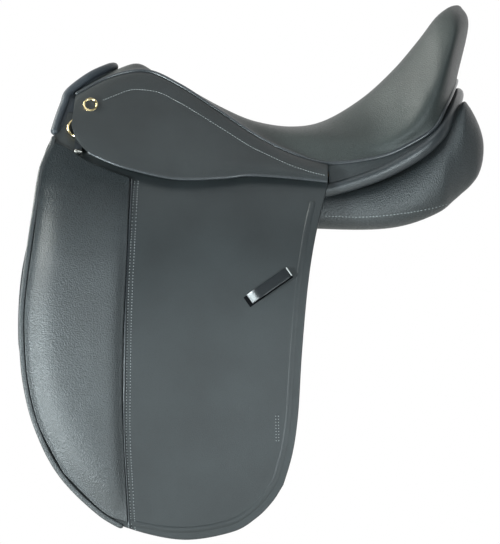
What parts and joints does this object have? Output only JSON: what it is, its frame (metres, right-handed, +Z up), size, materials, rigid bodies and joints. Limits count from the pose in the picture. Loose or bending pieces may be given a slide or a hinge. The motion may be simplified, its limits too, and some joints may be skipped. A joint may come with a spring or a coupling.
{
  "type": "dressage saddle",
  "caption": "Deep-seated dressage saddle with long lifting flaps and skirts, padded knee blocks, stuffed panels, stirrup bars with safety catches and girth straps.",
  "frame": {"origin": "on the centre plane, level with the underside of the panels and below the lowest point of the seat", "axes": "+X to the rear (cantle), +Y to the horse's right, +Z up"},
  "size_m": [0.5439, 0.4616, 0.6263],
  "materials": {
    "smooth_leather": "satin",
    "grain_leather": "fine grain",
    "dark_leather": "satin",
    "foam": "open cell foam",
    "webbing": "woven",
    "wood": "laminated",
    "steel": "satin",
    "brass": "polished"
  },
  "bodies": {
    "saddle": {"bar_rivets": "steel", "catch_pins": "steel", "channel_lining": "webbing", "dee_chape_l": "dark_leather", "dee_chape_r": "dark_leather", "flap_head_l": "smooth_leather", "flap_head_r": "smooth_leather", "flap_screws": "brass", "front_tab_l": "dark_leather", "front_tab_r": "dark_leather", "girth_web_l": "webbing", "girth_web_r": "webbing", "gullet_plate": "steel", "knee_pad_head_l": "grain_leather", "knee_pad_head_r": "grain_leather", "panel_l": "grain_leather", "panel_r": "grain_leather", "point_pocket_l": "dark_leather", "point_pocket_r": "dark_leather", "pommel_facing": "dark_leather", "rear_roll": "dark_leather", "saddle_stud_l": "brass", "saddle_stud_r": "brass", "seat_cover": "smooth_leather", "seat_foam": "foam", "seat_webbing": "webbing", "seat_welt": "dark_leather", "skirt_head_l": "smooth_leather", "skirt_head_r": "smooth_leather", "skirt_tail_l": "smooth_leather", "skirt_tail_r": "smooth_leather", "spring_steels": "steel", "stirrup_bar_l": "steel", "stirrup_bar_r": "steel", "sweat_flap_l": "dark_leather", "sweat_flap_r": "dark_leather", "tree_cantle": "wood", "tree_head": "wood", "tree_rail_l": "wood", "tree_rail_r": "wood"},
    "flap_l": {"flap_l": "smooth_leather", "knee_pad_l": "grain_leather", "knee_binding_l": "dark_leather", "keeper_strap_l": "dark_leather", "billet_loop_l": "dark_leather"},
    "skirt_l": {"skirt_l": "smooth_leather"},
    "catch_l": {"bar_catch_l": "steel"},
    "dee_l": {"dee_ring_l": "brass"},
    "strap_front_l": {"strap_front_l": "dark_leather"},
    "strap_rear_l": {"strap_rear_l": "dark_leather"},
    "flap_r": {"flap_r": "smooth_leather", "knee_pad_r": "grain_leather", "knee_binding_r": "dark_leather", "keeper_strap_r": "dark_leather", "billet_loop_r": "dark_leather"},
    "skirt_r": {"skirt_r": "smooth_leather"},
    "catch_r": {"bar_catch_r": "steel"},
    "dee_r": {"dee_ring_r": "brass"},
    "strap_front_r": {"strap_front_r": "dark_leather"},
    "strap_rear_r": {"strap_rear_r": "dark_leather"}
  },
  "joints": [
    {"name": "flap_lift_l", "type": "hinge", "parent": "saddle", "child": "flap_l", "pos_m": [-0.291, -0.14354, 0.05702], "axis": [-0.9997, 0.0149, 0.0211], "range_deg": [0, 55]},
    {"name": "skirt_lift_l", "type": "hinge", "parent": "saddle", "child": "skirt_l", "pos_m": [-0.249, -0.10427, 0.128], "axis": [-0.9738, 0.1166, 0.1954], "range_deg": [0, 40]},
    {"name": "catch_turn_l", "type": "hinge", "parent": "saddle", "child": "catch_l", "pos_m": [-0.081, -0.11074, 0.09642], "axis": [0, -0.8115, 0.5843], "range_deg": [0, 45]},
    {"name": "dee_swing_l", "type": "hinge", "parent": "saddle", "child": "dee_l", "pos_m": [-0.241, -0.09877, 0.11741], "axis": [0, 0.5843, 0.8115], "range_deg": [0, 24]},
    {"name": "strap_front_swing_l", "type": "hinge", "parent": "saddle", "child": "strap_front_l", "pos_m": [-0.092, -0.12845, 0.05831], "axis": [0, 0.8115, -0.5843], "range_deg": [-8, 8]},
    {"name": "strap_rear_swing_l", "type": "hinge", "parent": "saddle", "child": "strap_rear_l", "pos_m": [-0.026, -0.12845, 0.05831], "axis": [0, 0.8115, -0.5843], "range_deg": [-8, 8]},
    {"name": "flap_lift_r", "type": "hinge", "parent": "saddle", "child": "flap_r", "pos_m": [-0.291, 0.14354, 0.05702], "axis": [0.9997, 0.0149, -0.0211], "range_deg": [0, 55]},
    {"name": "skirt_lift_r", "type": "hinge", "parent": "saddle", "child": "skirt_r", "pos_m": [-0.249, 0.10427, 0.128], "axis": [0.9738, 0.1166, -0.1954], "range_deg": [0, 40]},
    {"name": "catch_turn_r", "type": "hinge", "parent": "saddle", "child": "catch_r", "pos_m": [-0.081, 0.11074, 0.09642], "axis": [0, -0.8115, -0.5843], "range_deg": [0, 45]},
    {"name": "dee_swing_r", "type": "hinge", "parent": "saddle", "child": "dee_r", "pos_m": [-0.241, 0.09877, 0.11741], "axis": [0, 0.5843, -0.8115], "range_deg": [0, 24]},
    {"name": "strap_front_swing_r", "type": "hinge", "parent": "saddle", "child": "strap_front_r", "pos_m": [-0.092, 0.12845, 0.05831], "axis": [0, 0.8115, 0.5843], "range_deg": [-8, 8]},
    {"name": "strap_rear_swing_r", "type": "hinge", "parent": "saddle", "child": "strap_rear_r", "pos_m": [-0.026, 0.12845, 0.05831], "axis": [0, 0.8115, 0.5843], "range_deg": [-8, 8]}
  ]
}
